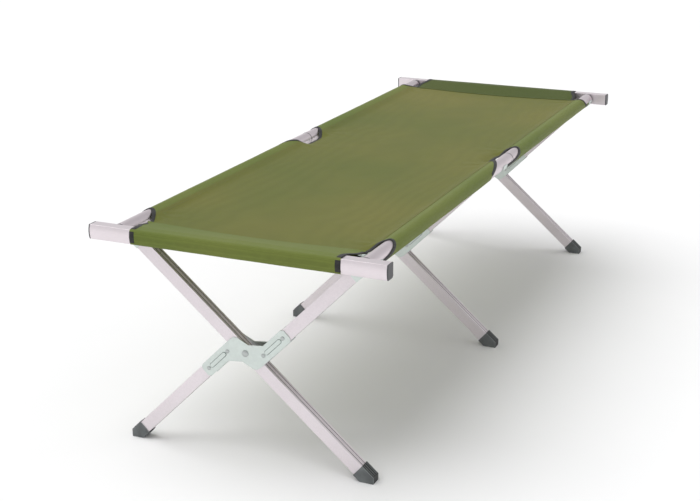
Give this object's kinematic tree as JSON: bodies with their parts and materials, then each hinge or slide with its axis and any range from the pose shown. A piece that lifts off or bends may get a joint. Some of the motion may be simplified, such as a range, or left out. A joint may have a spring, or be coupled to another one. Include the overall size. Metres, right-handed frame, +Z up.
{
  "type": "folding cot",
  "caption": "Folding cot with an olive fabric bed on aluminium side rails, crossed folding legs and pull-off end bars.",
  "frame": {"origin": "centre of the bounding box's bottom face, on the floor", "axes": "+Z up, Y along the bed with the foot end at -Y and the head end at +Y, X across the bed"},
  "size_m": [0.736, 1.9024, 0.5412],
  "materials": {
    "fabric": "olive green woven polyester, matt with a slight sheen",
    "boot_rubber": "matt dark grey moulded rubber",
    "dark_plastic": "matt dark grey moulded plastic",
    "rail_aluminium": "satin anodised extrusion",
    "leg_aluminium": "satin anodised extrusion with fine grooves",
    "fastener_steel": "zinc plated",
    "galvanised_steel": "pressed sheet, pale green-grey zinc"
  },
  "bodies": {
    "centre": {"fabric_panel": "fabric", "pivot_rivets": "fastener_steel"},
    "left_frame": {"left_rail_foot": "rail_aluminium", "left_rail_head": "rail_aluminium", "left_joint_fork": "fastener_steel", "left_joint_tongue": "fastener_steel", "left_joint_pin": "fastener_steel", "left_plug_foot": "dark_plastic", "left_plug_head": "dark_plastic", "left_bracket_foot": "galvanised_steel", "left_bracket_mid": "galvanised_steel", "left_bracket_head": "galvanised_steel", "left_bracket_rivets": "fastener_steel", "leg_foot": "leg_aluminium", "leg_mid": "leg_aluminium", "leg_head": "leg_aluminium", "right_boot_foot": "boot_rubber", "right_boot_mid": "boot_rubber", "right_boot_head": "boot_rubber", "left_sleeve_foot": "fabric", "left_sleeve_head": "fabric"},
    "right_frame": {"right_rail_foot": "rail_aluminium", "right_rail_head": "rail_aluminium", "right_joint_fork": "fastener_steel", "right_joint_tongue": "fastener_steel", "right_joint_pin": "fastener_steel", "right_plug_foot": "dark_plastic", "right_plug_head": "dark_plastic", "right_bracket_foot": "galvanised_steel", "right_bracket_mid": "galvanised_steel", "right_bracket_head": "galvanised_steel", "right_bracket_rivets": "fastener_steel", "split_leg_upper_foot": "leg_aluminium", "split_leg_upper_mid": "leg_aluminium", "split_leg_upper_head": "leg_aluminium", "split_leg_lower_foot": "leg_aluminium", "split_leg_lower_mid": "leg_aluminium", "split_leg_lower_head": "leg_aluminium", "front_plate_foot": "galvanised_steel", "front_plate_mid": "galvanised_steel", "front_plate_head": "galvanised_steel", "rear_plate_foot": "galvanised_steel", "rear_plate_mid": "galvanised_steel", "rear_plate_head": "galvanised_steel", "left_boot_foot": "boot_rubber", "left_boot_mid": "boot_rubber", "left_boot_head": "boot_rubber", "right_sleeve_foot": "fabric", "right_sleeve_head": "fabric", "plate_rivets": "fastener_steel"},
    "foot_end_bar": {"foot_bar": "rail_aluminium", "foot_bar_caps": "dark_plastic", "foot_bar_studs": "fastener_steel", "foot_end_sleeve": "fabric"},
    "head_end_bar": {"head_bar": "rail_aluminium", "head_bar_caps": "dark_plastic", "head_bar_studs": "fastener_steel", "head_end_sleeve": "fabric"}
  },
  "joints": [
    {"name": "left_frame_fold", "type": "hinge", "parent": "centre", "child": "left_frame", "pos_m": [0, 0, 0.266], "axis": [0, 1, 0], "range_deg": [0, 38], "deforming": ["fabric_panel"]},
    {"name": "right_frame_fold", "type": "hinge", "parent": "centre", "child": "right_frame", "pos_m": [0, 0, 0.266], "axis": [0, 1, 0], "range_deg": [-38, 0], "deforming": ["fabric_panel"]},
    {"name": "foot_bar_pull", "type": "slide", "parent": "centre", "child": "foot_end_bar", "axis": [0, -1, 0], "range_m": [0, 0.03]},
    {"name": "head_bar_pull", "type": "slide", "parent": "centre", "child": "head_end_bar", "axis": [0, 1, 0], "range_m": [0, 0.03]}
  ],
  "couplings": [
    {"joint": "right_frame_fold", "follows": "left_frame_fold", "ratio": -1}
  ]
}
